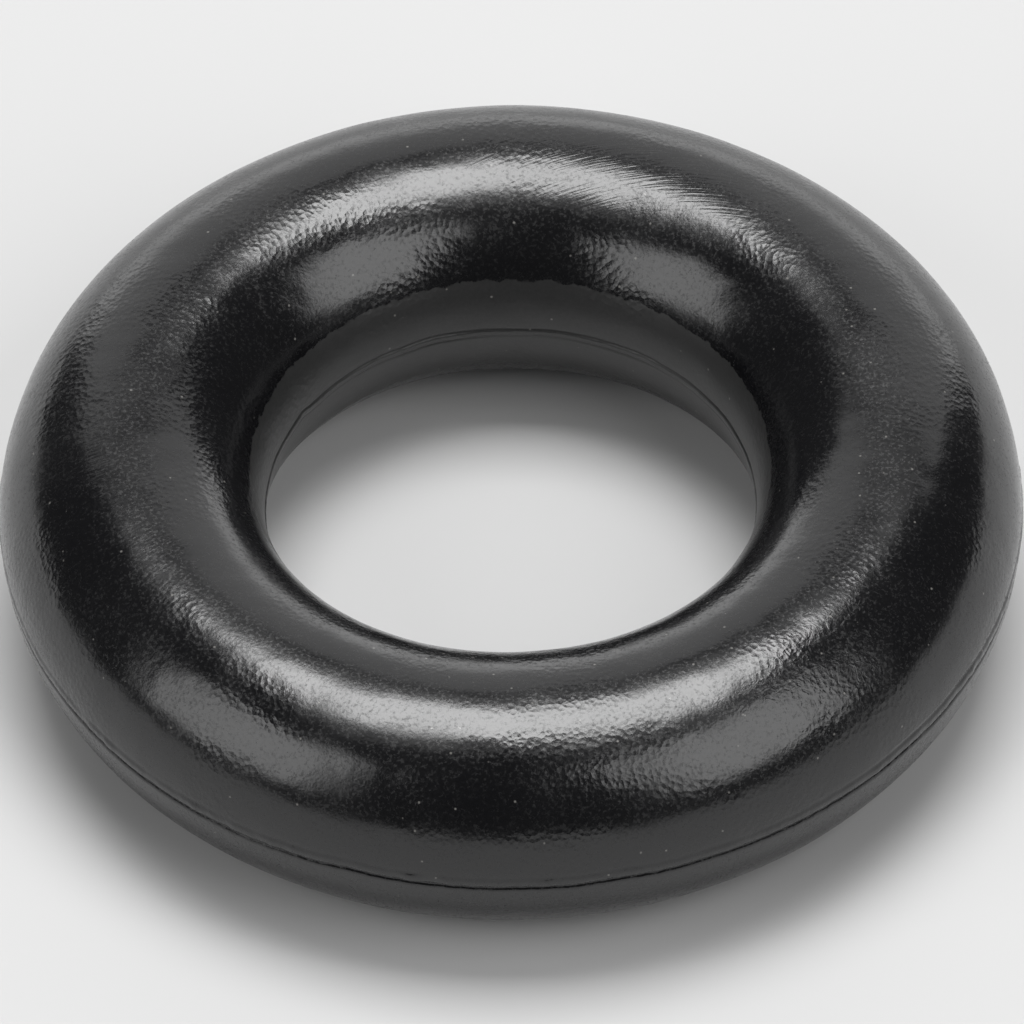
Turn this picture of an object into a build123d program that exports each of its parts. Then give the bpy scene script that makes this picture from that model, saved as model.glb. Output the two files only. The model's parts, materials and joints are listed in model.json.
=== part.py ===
from build123d import *
import math
import os

# Moulded rubber sealing ring with a round section, used as a thick washer. Millimetres, +Z up.
# The ring lies flat. Its origin is the centre of the bore, on the plane where the two mould halves met.

# Round section
inside_diameter = 11.0      # free bore, measured on the rubber wall
section_diameter = 6.0      # thickness of the round section

# Trimmed flash in the bore: the low ridge left on the parting plane where the flash was torn away
bore_land_width = 0.10      # flat top of the ridge, along the axis
bore_land_height = 0.03     # how far the top stands into the bore
bore_land_flank = 0.04      # how far each flank spreads from the top to the wall

# Trimmed flash on the rim
rim_land_width = 0.12
rim_land_height = 0.04
rim_land_flank = 0.07

# Derived places
section_radius = section_diameter / 2
bore_radius = inside_diameter / 2
section_centre = bore_radius + section_radius
rim_radius = section_centre + section_radius


def wall_depth(half_width):
    """How far the round has curved away from its equator at this height above the parting plane."""
    return section_radius - math.sqrt(section_radius**2 - half_width**2)


def land(wall_radius, outward, width, height, flank):
    """Section of one ridge. It stands off the wall at wall_radius, and outward is 1 or -1."""
    top = width / 2
    foot = top + flank
    on_wall = wall_radius - outward * wall_depth(foot)
    on_top = wall_radius + outward * height
    rooted = on_wall - outward * height
    upper = [(rooted, foot), (on_wall, foot), (on_top, top)]
    lower = [(radius, -level) for radius, level in reversed(upper)]
    return make_face(Polyline(*upper, *lower, close=True))


def ring_section():
    """Half section of the ring: the round, with one ridge in the bore and one on the rim."""
    round_section = Pos(section_centre, 0) * Circle(section_radius)
    bore_land = land(bore_radius, -1, bore_land_width, bore_land_height, bore_land_flank)
    rim_land = land(rim_radius, 1, rim_land_width, rim_land_height, rim_land_flank)
    return round_section + bore_land + rim_land


def rubber_ring():
    """The whole ring: its section turned once about the bore's axis."""
    return revolve(Plane.XZ * ring_section(), axis=Axis.Z, revolution_arc=360)


os.makedirs("parts", exist_ok=True)
ring = rubber_ring()
export_step(ring, "parts/rubber_ring.step")

print(f"outside diameter {2 * (rim_radius + rim_land_height):.2f} mm over the rim's ridge")
print(f"bore {2 * (bore_radius - bore_land_height):.2f} mm at the bore's ridge")
print(f"volume {ring.volume:.2f} mm3")
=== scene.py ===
import json
import math

import bpy
import numpy as np
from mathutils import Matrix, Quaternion, Vector


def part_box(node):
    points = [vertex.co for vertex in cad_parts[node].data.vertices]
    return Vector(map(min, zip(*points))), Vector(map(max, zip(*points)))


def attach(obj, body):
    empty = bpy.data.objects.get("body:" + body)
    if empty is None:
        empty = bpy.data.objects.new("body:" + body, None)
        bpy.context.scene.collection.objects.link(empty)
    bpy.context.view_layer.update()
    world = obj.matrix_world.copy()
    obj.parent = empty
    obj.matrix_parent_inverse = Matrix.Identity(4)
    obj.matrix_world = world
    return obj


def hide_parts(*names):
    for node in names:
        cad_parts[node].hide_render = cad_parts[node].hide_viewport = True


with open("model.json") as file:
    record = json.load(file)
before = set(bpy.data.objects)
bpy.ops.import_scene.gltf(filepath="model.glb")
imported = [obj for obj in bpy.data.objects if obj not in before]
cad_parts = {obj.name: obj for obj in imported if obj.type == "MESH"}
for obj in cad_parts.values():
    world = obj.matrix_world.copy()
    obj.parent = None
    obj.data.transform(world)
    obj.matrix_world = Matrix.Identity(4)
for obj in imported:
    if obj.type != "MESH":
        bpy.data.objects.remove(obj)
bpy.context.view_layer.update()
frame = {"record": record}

# A black sealing ring with a round section, moulded in nitrile rubber. Everything is in metres, +Z up.
# An angle round the ring is 0 at the front (-Y) and grows towards +X. An angle across the section is
# 0 on the rim, a quarter turn on the crest and a half turn on the bore's wall.

MM = 0.001
TURN = 2 * math.pi

# ---- Sizes of the ring, from the frame -------------------------------------------------------------

NODE = "rubber_ring"
lowest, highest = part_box(NODE)
mounts = {mount["name"]: mount for mount in frame["record"]["mounts"]}

# The trimmed flash: how far its ridge stands off the wall at the most, and how far its flanks spread.
# The upper flank is rubbed down, so it spreads further than the lower one.
RIM_RIDGE_HEIGHT = 0.04 * MM
RIM_FLANKS = (0.12 * MM, 0.08 * MM)
BORE_RIDGE_HEIGHT = 0.03 * MM
BORE_FLANKS = (0.06 * MM, 0.06 * MM)

section_radius = (highest.z - lowest.z) / 2
rim_ridge_top = mounts["rim"]["dims"]["length_mm"] * MM
bore_ridge_top = mounts["bore"]["dims"]["length_mm"] * MM
centre_line = highest.x - RIM_RIDGE_HEIGHT - section_radius

# ---- Irregular shape of the moulding ---------------------------------------------------------------

ROUND_THE_RING = 820        # steps round the ring, each about 0.09 mm on the rim
ACROSS_A_RIDGE = 23         # steps across each ridge, each about 0.025 mm
BETWEEN_RIDGES = 36         # steps from one ridge to the other, over the crest or under the ring
RIDGE_REACH = 0.28 * MM     # half the width that the fine steps cover
draw = np.random.default_rng(11)

# Where the flash tore too deep, and where a nib of it is left, in degrees round the ring
RIM_GAPS = [-57.0, -44.4, -34.2, -9.5, 27.0, 96.0, 171.0, 231.0]
RIM_NIBS = [-52.0, -38.5, -25.5, -12.0, 3.5, 13.0, 24.0, 44.5, 63.0, 118.0, 205.0]
BORE_GAPS = [147.4, 156.5, 207.0, 236.0, 30.0, 65.0, 300.0]
BORE_NIBS = [170.0, 191.0]
RIM_WORN_TO = 0.50          # share of the ridge's height that is left on average
BORE_WORN_TO = 0.75

# Where a ridge wanders off the parting plane for a short stretch
RIM_KINK, RIM_KINK_RISE, RIM_KINK_REACH = math.radians(-19.5), 0.06 * MM, 0.35 * MM
BORE_KINK, BORE_KINK_RISE, BORE_KINK_REACH = math.radians(237.5), 0.05 * MM, 0.30 * MM
WANDER = 0.012 * MM         # slow wander of either ridge
JITTER = 0.006 * MM         # fast wander of the rim's ridge

# The groove that tearing the flash leaves along the foot of a ridge: how deep, and how far it spreads
RIM_GROOVE_DEPTH, RIM_GROOVE_REACH = 0.055 * MM, 0.058 * MM
BORE_GROOVE_DEPTH, BORE_GROOVE_REACH = 0.020 * MM, 0.030 * MM
# A second, faint line above the rim's ridge, for a short way to the right of the front
DOUBLED_AT, DOUBLED_REACH = math.radians(60), 2.2 * MM
DOUBLED_DEPTH, DOUBLED_SPREAD = 0.016 * MM, 0.040 * MM

LONG_SWELL = 0.006 * MM     # height of the swells of 3 to 9 mm
SHORT_SWELL = 0.0026 * MM   # height of the swells of 1.1 to 3 mm


def waves(angle, slowest, fastest, count):
    """A wandering line round the ring, about -1 to 1, that meets itself after one turn."""
    turns = draw.integers(slowest, fastest + 1, count)
    starts = draw.uniform(0, TURN, count)
    return np.cos(np.outer(angle, turns) + starts).sum(1) / math.sqrt(count)


def swells(around, across, longest, shortest, count):
    """Soft swells over the whole surface, about -1 to 1. Their lengths lie between longest and shortest."""
    total = np.zeros((len(around), len(across)))
    for _ in range(count):
        length = draw.uniform(shortest, longest)
        heading = draw.uniform(0, TURN)
        round_turns = round(TURN * centre_line / length * math.cos(heading))
        across_turns = round(TURN * section_radius / length * math.sin(heading))
        start = draw.uniform(0, TURN)
        total += np.cos(np.add.outer(round_turns * around, across_turns * across) + start)
    return total / math.sqrt(count)


def hump(distance, half_width):
    """1 at distance 0, falling smoothly to nothing."""
    return np.exp(-((distance / half_width) ** 2))


def ridge_height(off_middle, top, flanks, height):
    """Height of a worn ridge at a distance from its middle: a flat top, and flanks with soft corners."""
    flank = np.where(off_middle > 0, flanks[0], flanks[1])
    rise = np.clip((np.abs(off_middle) - top / 2) / flank, 0, 1)
    return height * (1 - rise * rise * (3 - 2 * rise))


def torn_line(around, gaps, nibs, worn_to):
    """Share of a ridge that is left round the ring: worn down, with gaps torn too deep and with nibs."""
    gap_depth, gap_reach = 0.35, 0.16 * MM
    nib_rise, nib_reach = 0.5, 0.09 * MM
    left = worn_to + 0.10 * waves(around, 20, 110, 24) + 0.08 * waves(around, 90, 300, 24)
    for place in np.radians(gaps):
        left -= gap_depth * hump(round_from(around, place), gap_reach)
    for place in np.radians(nibs):
        left += nib_rise * hump(round_from(around, place), nib_reach)
    return np.clip(left, 0.0, 1.0)


def round_from(around, place):
    """Distance along the centre line from a place round the ring."""
    return ((around - place + math.pi) % TURN - math.pi) * centre_line


def across_steps():
    """Angles across the section from the underside up: fine steps over each ridge, even steps between."""
    reach = RIDGE_REACH / section_radius
    fine = np.linspace(-reach, reach, ACROSS_A_RIDGE)
    even = np.linspace(reach, math.pi - reach, BETWEEN_RIDGES + 2)[1:-1]
    steps = np.concatenate([fine, even, fine + math.pi, even + math.pi])
    return np.sort((steps + TURN / 4) % TURN - TURN / 4)


def ring_surface():
    """Points of the ring, and the angles round it and across it. The first row is at the right."""
    around = TURN / 4 + np.arange(ROUND_THE_RING) * TURN / ROUND_THE_RING
    across = across_steps()

    rim_left = torn_line(around, RIM_GAPS, RIM_NIBS, RIM_WORN_TO)
    rim_drift = WANDER * waves(around, 3, 40, 16) + JITTER * waves(around, 60, 200, 16)
    rim_drift += RIM_KINK_RISE * hump(round_from(around, RIM_KINK), RIM_KINK_REACH)
    bore_left = torn_line(around, BORE_GAPS, BORE_NIBS, BORE_WORN_TO)
    bore_drift = WANDER * waves(around, 3, 30, 16)
    bore_drift += BORE_KINK_RISE * hump(round_from(around, BORE_KINK), BORE_KINK_REACH)

    # Each ridge's drift dies out before the other ridge
    dies_out = 0.35
    shift = np.outer(rim_drift, hump(np.sin(across / 2), dies_out))
    shift -= np.outer(bore_drift, hump(np.cos(across / 2), dies_out))
    angle = across + shift / section_radius

    off_rim = across * section_radius
    off_bore = (math.pi - across) * section_radius
    rim = ridge_height(off_rim, rim_ridge_top, RIM_FLANKS, RIM_RIDGE_HEIGHT)
    bore = ridge_height(off_bore, bore_ridge_top, BORE_FLANKS, BORE_RIDGE_HEIGHT)
    height = np.outer(rim_left, rim) + np.outer(bore_left, bore)

    # The grooves along the feet of the ridges
    below_rim = -(rim_ridge_top / 2 + RIM_FLANKS[1])
    above_rim = rim_ridge_top / 2 + RIM_FLANKS[0]
    doubled = hump(round_from(around, DOUBLED_AT), DOUBLED_REACH)
    height -= RIM_GROOVE_DEPTH * hump(off_rim - below_rim, RIM_GROOVE_REACH)
    height -= DOUBLED_DEPTH * np.outer(doubled, hump(off_rim - above_rim, DOUBLED_SPREAD))
    foot = bore_ridge_top / 2 + BORE_FLANKS[0]
    uneven = 0.75 + 0.25 * waves(around, 2, 9, 6)
    height -= BORE_GROOVE_DEPTH * np.outer(uneven, hump(np.abs(off_bore) - foot, BORE_GROOVE_REACH))

    swell = LONG_SWELL * swells(around, across, 9 * MM, 3 * MM, 30)
    swell += SHORT_SWELL * swells(around, across, 3 * MM, 1.1 * MM, 50)
    height += swell - swell.max()

    radius = section_radius + height
    reach = centre_line + radius * np.cos(angle)
    heading = around[:, None]
    points = np.stack([reach * np.sin(heading), -reach * np.cos(heading), radius * np.sin(angle)], -1)
    return points, around, across


def closed_quads(rows, columns):
    """Faces of a surface that closes on itself both ways, with their outer sides out."""
    row, column = np.meshgrid(np.arange(rows), np.arange(columns), indexing="ij")
    next_row, next_column = (row + 1) % rows, (column + 1) % columns
    corners = [row * columns + column, next_row * columns + column,
               next_row * columns + next_column, row * columns + next_column]
    return np.stack(corners, -1).reshape(-1, 4)


def lay_arc_map(mesh, around, across):
    """A map of the surface in millimetres: along the ring's centre line, and across the section."""
    steps = np.append(around, around[0] + TURN) * centre_line / MM
    cross = np.append(across, across[0] + TURN) * section_radius / MM
    row, column = np.meshgrid(np.arange(len(around)), np.arange(len(across)), indexing="ij")
    rows = np.stack([row, row + 1, row + 1, row], -1).reshape(-1)
    columns = np.stack([column, column, column + 1, column + 1], -1).reshape(-1)
    layer = mesh.uv_layers.new(name="arc_mm")
    layer.uv.foreach_set("vector", np.stack([steps[rows], cross[columns]], -1).astype(np.float32).ravel())


def mould_ring():
    """The ring's visible mesh."""
    points, around, across = ring_surface()
    mesh = bpy.data.meshes.new("moulded_ring")
    quads = closed_quads(len(around), len(across))
    mesh.from_pydata(points.reshape(-1, 3).tolist(), [], quads.tolist())
    mesh.polygons.foreach_set("use_smooth", np.ones(len(quads), bool))
    lay_arc_map(mesh, around, across)
    ring = bpy.data.objects.new("moulded_ring", mesh)
    bpy.context.scene.collection.objects.link(ring)
    return ring


# ---- Materials -------------------------------------------------------------------------------------

def colour(hex_code):
    """Linear colour of an sRGB hex code such as '#102030'."""
    parts = [int(hex_code[i:i + 2], 16) / 255 for i in (1, 3, 5)]
    return [c / 12.92 if c <= 0.04045 else ((c + 0.055) / 1.055) ** 2.4 for c in parts] + [1.0]


def add(tree, kind, inputs=(), **settings):
    """Adds a node with its settings. Each input is a plain value, or a node or socket to link into it."""
    node = tree.nodes.new(kind)
    for name, value in settings.items():
        setattr(node, name, value)
    for socket, source in dict(inputs).items():
        if isinstance(source, bpy.types.Node):
            tree.links.new(source.outputs[0], node.inputs[socket])
        elif isinstance(source, bpy.types.NodeSocket):
            tree.links.new(source, node.inputs[socket])
        else:
            node.inputs[socket].default_value = source
    return node


def new_material(name):
    """An empty material: its node tree, and the surface shader that ends it."""
    material = bpy.data.materials.new(name)
    material.use_nodes = True
    tree = material.node_tree
    tree.nodes.clear()
    shader = add(tree, "ShaderNodeBsdfPrincipled")
    add(tree, "ShaderNodeOutputMaterial", {"Surface": shader})
    return material, tree, shader


def patch(tree, arc, around, across, length_mm, width_mm):
    """1 in the middle of an oval patch and 0 outside it. The middle is given as the two angles."""
    middle = (math.radians(around) * centre_line / MM, math.radians(across) * section_radius / MM, 0)
    off = add(tree, "ShaderNodeVectorMath", {0: arc, 1: middle}, operation="SUBTRACT")
    oval = add(tree, "ShaderNodeVectorMath", {0: off, 1: (2 / length_mm, 2 / width_mm, 0)},
               operation="MULTIPLY")
    far = add(tree, "ShaderNodeVectorMath", {0: oval}, operation="LENGTH")
    return add(tree, "ShaderNodeMapRange", {0: far.outputs["Value"], 1: 0.35, 2: 1.0, 3: 1.0, 4: 0.0},
               interpolation_type="SMOOTHSTEP")


def drawn_marks(tree, arc, heading, length_mm, spacing_mm):
    """Fine lines drawn at a heading to the ring's length, in degrees, as a polishing stone leaves them."""
    turned = add(tree, "ShaderNodeVectorRotate", {"Vector": arc, "Angle": math.radians(-heading)},
                 rotation_type="Z_AXIS")
    drawn = add(tree, "ShaderNodeVectorMath", {0: turned, 1: (1 / length_mm, 1 / spacing_mm, 0)},
                operation="MULTIPLY")
    return add(tree, "ShaderNodeTexNoise", {"Vector": drawn, "Scale": 1.0, "Detail": 1.0})


def moulded_nitrile_rubber():
    """Black nitrile rubber, pressed in a hand-polished steel mould and left as moulded.

    Carbon black makes it near black all through, so the eye reads its shape from reflections. They are
    satin, with edges that look crumbled rather than blurred, because the skin copies the mould's
    ripples, pebbled patches and stone marks. In a band round the middle of the bore's wall the skin is
    matt and a little greyer, mottled, up to a ragged edge. A few specks of dust cling to it.
    """
    # Each pattern's size and depth, in millimetres
    ripple_mm, ripple_depth = 0.55, 0.010
    crumble_mm, crumble_depth = 0.13, 0.0032
    grain_mm, grain_depth = 0.05, 0.0008            # real grain is finer, and wouldn't show
    pebble_mm, pebble_depth = 0.13, 0.0065
    stone_mark_mm, stone_mark_depth = 0.06, 0.0070   # real marks are finer too
    wipe_mark_mm, wipe_mark_depth = 0.07, 0.0035
    swirl_mm, swirl_depth = 0.30, 0.006
    tooth_mm, tooth_depth = 0.28, 0.15
    speck_spacing_mm, speck_mm = 0.5, 0.036
    pebbled_patch_mm = 2.6
    gloss_cloud_mm = 1.8
    dull_spot_mm = 0.085
    speck_cover = 0.45      # share of the rubber's colour that a speck hides
    # Two greys for the band round the middle of the bore's wall, a little paler than the black, mottled
    # between by noise
    black, band_dark_grey, band_pale_grey = colour("#08080a"), colour("#141414"), colour("#292929")
    dust_grey = colour("#8c8a86")
    # Roughness: the skin's least and most, what the dull spots add at most, and the rubbed band's
    glossiest, dullest, dull_more, matt_roughness = 0.14, 0.22, 0.20, 0.40
    band_half_width = math.radians(27) * section_radius / MM

    material, tree, shader = new_material("moulded_nitrile_rubber")
    place = add(tree, "ShaderNodeTexCoord")
    at = add(tree, "ShaderNodeVectorMath", {0: place.outputs["Object"], "Scale": 1 / MM},
             operation="SCALE")
    arc = add(tree, "ShaderNodeUVMap", uv_map="arc_mm")

    # Relief of the skin
    ripple = add(tree, "ShaderNodeTexNoise", {"Vector": at, "Scale": 1 / ripple_mm, "Detail": 0.0})
    crumble = add(tree, "ShaderNodeTexNoise",
                  {"Vector": at, "Scale": 1 / crumble_mm, "Detail": 2.0, "Roughness": 0.6})
    grain = add(tree, "ShaderNodeTexNoise", {"Vector": at, "Scale": 1 / grain_mm, "Detail": 0.0})
    pebble = add(tree, "ShaderNodeTexVoronoi", {"Vector": at, "Scale": 1 / pebble_mm})
    swirl = add(tree, "ShaderNodeTexNoise",
                {"Vector": at, "Scale": 1 / swirl_mm, "Detail": 1.0, "Distortion": 3.0})
    patchy = add(tree, "ShaderNodeTexNoise", {"Vector": at, "Scale": 1 / pebbled_patch_mm, "Detail": 0.0})
    # A little under half of the skin is pebbled, with soft ends
    pebbled = add(tree, "ShaderNodeMapRange", {0: patchy, 1: 0.44, 2: 0.60, 3: 0.05},
                  interpolation_type="SMOOTHSTEP")
    # The marks lie in patches: on the crest at the back, at the left, and at the right of the front
    stone_marks = drawn_marks(tree, arc, 25, 0.9, stone_mark_mm)
    wipe_marks = drawn_marks(tree, arc, 96, 0.5, wipe_mark_mm)
    reliefs = [
        (crumble, crumble_depth, None),
        (grain, grain_depth, None),
        (pebble, pebble_depth, pebbled),
        (stone_marks, stone_mark_depth, patch(tree, arc, 160, 98, 10.0, 2.8)),
        (wipe_marks, wipe_mark_depth, patch(tree, arc, 288, 72, 11.0, 4.5)),
        (swirl, swirl_depth, patch(tree, arc, 402, 55, 7.0, 3.5)),
    ]
    height = add(tree, "ShaderNodeMath", {0: ripple, 1: ripple_depth}, operation="MULTIPLY")
    for pattern, depth, where in reliefs:
        if where:
            pattern = add(tree, "ShaderNodeMath", {0: pattern, 1: where}, operation="MULTIPLY")
        height = add(tree, "ShaderNodeMath", {0: pattern, 1: depth, 2: height}, operation="MULTIPLY_ADD")
    relief = add(tree, "ShaderNodeBump", {"Height": height, "Strength": 1.0, "Distance": MM})

    # The matt band in the bore, with its ragged edge
    across = add(tree, "ShaderNodeSeparateXYZ", {0: arc})
    band_middle = math.pi * section_radius / MM
    off_middle = add(tree, "ShaderNodeMath", {0: across.outputs["Y"], 1: band_middle}, operation="SUBTRACT")
    from_middle = add(tree, "ShaderNodeMath", {0: off_middle}, operation="ABSOLUTE")
    teeth = add(tree, "ShaderNodeTexNoise",
                {"Vector": at, "Scale": 1 / tooth_mm, "Detail": 3.0, "Roughness": 0.6})
    ragged = add(tree, "ShaderNodeMath", {0: teeth, 1: 2 * tooth_depth, 2: from_middle},
                 operation="MULTIPLY_ADD")
    edge = band_half_width + tooth_depth
    blur = 0.02
    matt = add(tree, "ShaderNodeMapRange", {0: ragged, 1: edge - blur, 2: edge + blur, 3: 1.0, 4: 0.0})

    # Dust
    dust = add(tree, "ShaderNodeTexVoronoi", {"Vector": at, "Scale": 1 / speck_spacing_mm})
    speck_edge = speck_mm / speck_spacing_mm
    speck = add(tree, "ShaderNodeMapRange",
                {0: dust, 1: speck_edge / 2, 2: speck_edge, 3: speck_cover, 4: 0.0})

    # Colour and gloss
    clouds = add(tree, "ShaderNodeTexNoise", {"Vector": at, "Scale": 1 / gloss_cloud_mm, "Detail": 2.0})
    satin = add(tree, "ShaderNodeMapRange", {0: clouds, 1: 0.3, 2: 0.7, 3: glossiest, 4: dullest})
    dull = add(tree, "ShaderNodeTexNoise",
               {"Vector": at, "Scale": 1 / dull_spot_mm, "Detail": 2.0, "Roughness": 0.65})
    dull_spots = add(tree, "ShaderNodeMapRange", {0: dull, 1: 0.48, 2: 0.74, 3: 0.0, 4: dull_more})
    # The band round the middle of the bore's wall gets a greyer, mottled colour here and a matt roughness
    # below
    band_mottle = add(tree, "ShaderNodeMix", {"Factor": dull, "A": band_dark_grey, "B": band_pale_grey},
                 data_type="RGBA")
    skin = add(tree, "ShaderNodeMix", {"Factor": matt, "A": black, "B": band_mottle.outputs["Result"]},
               data_type="RGBA")
    dusted = add(tree, "ShaderNodeMix", {"Factor": speck, "A": skin.outputs["Result"], "B": dust_grey},
                 data_type="RGBA")
    spotted = add(tree, "ShaderNodeMath", {0: satin, 1: dull_spots}, operation="ADD")
    gloss = add(tree, "ShaderNodeMix", {"Factor": matt, "A": spotted, "B": matt_roughness},
                data_type="FLOAT")
    tree.links.new(dusted.outputs["Result"], shader.inputs["Base Color"])
    tree.links.new(gloss.outputs["Result"], shader.inputs["Roughness"])
    tree.links.new(relief.outputs["Normal"], shader.inputs["Normal"])
    shader.inputs["IOR"].default_value = 1.6         # the top of the range for filled rubber
    return material


def matt_card():
    """Matt pale grey card, uncoated. It gives the eye a plain ground that shows the shadow and no gloss."""
    material, tree, shader = new_material("matt_card")
    shader.inputs["Base Color"].default_value = colour("#c4c4c4")
    shader.inputs["Roughness"].default_value = 0.9
    shader.inputs["Specular IOR Level"].default_value = 0.0
    return material


# ---- Ground, lamps and camera ----------------------------------------------------------------------

def lay_ground():
    """A pale card that the ring lies on."""
    half = 4.0              # wide enough to run out of every view
    level = lowest.z
    mesh = bpy.data.meshes.new("ground")
    corners = [(-half, -half, level), (half, -half, level), (half, half, level), (-half, half, level)]
    mesh.from_pydata(corners, [], [(0, 1, 2, 3)])
    mesh.materials.append(matt_card())
    ground = bpy.data.objects.new("ground", mesh)
    bpy.context.scene.collection.objects.link(ground)


def direction(azimuth, elevation):
    """Unit vector from the ring. Azimuth is 0 towards the camera and grows to the right, in degrees."""
    a, e = math.radians(azimuth), math.radians(elevation)
    return Vector((math.sin(a) * math.cos(e), -math.cos(a) * math.cos(e), math.sin(e)))


def hang_softbox(name, azimuth, elevation, width_degrees, height_degrees, radiance, distance=0.9):
    """A softbox that faces the ring. Its width and height are the angles that it fills there."""
    lamp = bpy.data.lights.new(name, "AREA")
    lamp.shape = "RECTANGLE"
    lamp.size = 2 * distance * math.tan(math.radians(width_degrees) / 2)
    lamp.size_y = 2 * distance * math.tan(math.radians(height_degrees) / 2)
    lamp.energy = radiance * math.pi * lamp.size * lamp.size_y
    softbox = bpy.data.objects.new(name, lamp)
    toward = direction(azimuth, elevation)
    softbox.location = toward * distance
    softbox.rotation_mode = "QUATERNION"
    softbox.rotation_quaternion = toward.to_track_quat("Z", "Y")
    softbox.visible_camera = False
    bpy.context.scene.collection.objects.link(softbox)


def light_studio():
    """A softbox overhead with a dim scrim round it, one at each side of the camera, two panels behind.

    Each has its azimuth, elevation, width and height in degrees, and its radiance.
    """
    hang_softbox("overhead_softbox", 176, 77, 36, 29, 9.0)
    hang_softbox("overhead_scrim", 180, 77, 50, 54, 0.55)
    hang_softbox("left_softbox", -62, 31, 38, 38, 2.45)
    hang_softbox("right_softbox", 55, 39, 39, 43, 2.7)
    hang_softbox("back_panel", 176, 22, 66, 46, 0.85)
    hang_softbox("low_back_panel", 176, 7, 70, 16, 0.75)
    world = bpy.data.worlds.new("studio")
    world.use_nodes = True
    world.node_tree.nodes["Background"].inputs["Color"].default_value = colour("#4a4a4a")
    bpy.context.scene.world = world


def set_camera():
    """A long lens that looks down on the ring and frames it to both edges."""
    elevation = 46.5
    distance = 75 * centre_line     # a long lens, so that the ring's far side looks hardly smaller
    frame_width = 23.01 * MM
    roll = -0.88                    # degrees
    aim = Vector((0.02, 0, -0.10)) * MM
    lens = bpy.data.cameras.new("camera")
    lens.sensor_width = 36.0
    lens.lens = lens.sensor_width * distance / frame_width
    lens.clip_start = 0.01
    lens.clip_end = 10.0
    camera = bpy.data.objects.new("camera", lens)
    toward = direction(0, elevation)
    camera.location = aim + toward * distance
    camera.rotation_mode = "QUATERNION"
    camera.rotation_quaternion = toward.to_track_quat("Z", "Y") @ Quaternion((0, 0, 1), math.radians(roll))
    bpy.context.scene.collection.objects.link(camera)
    bpy.context.scene.camera = camera


# ---- The part --------------------------------------------------------------------------------------

ring = mould_ring()
ring.data.materials.append(moulded_nitrile_rubber())
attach(ring, "root")
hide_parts(NODE)

lay_ground()
light_studio()
set_camera()
bpy.context.scene.view_settings.view_transform = "Standard"
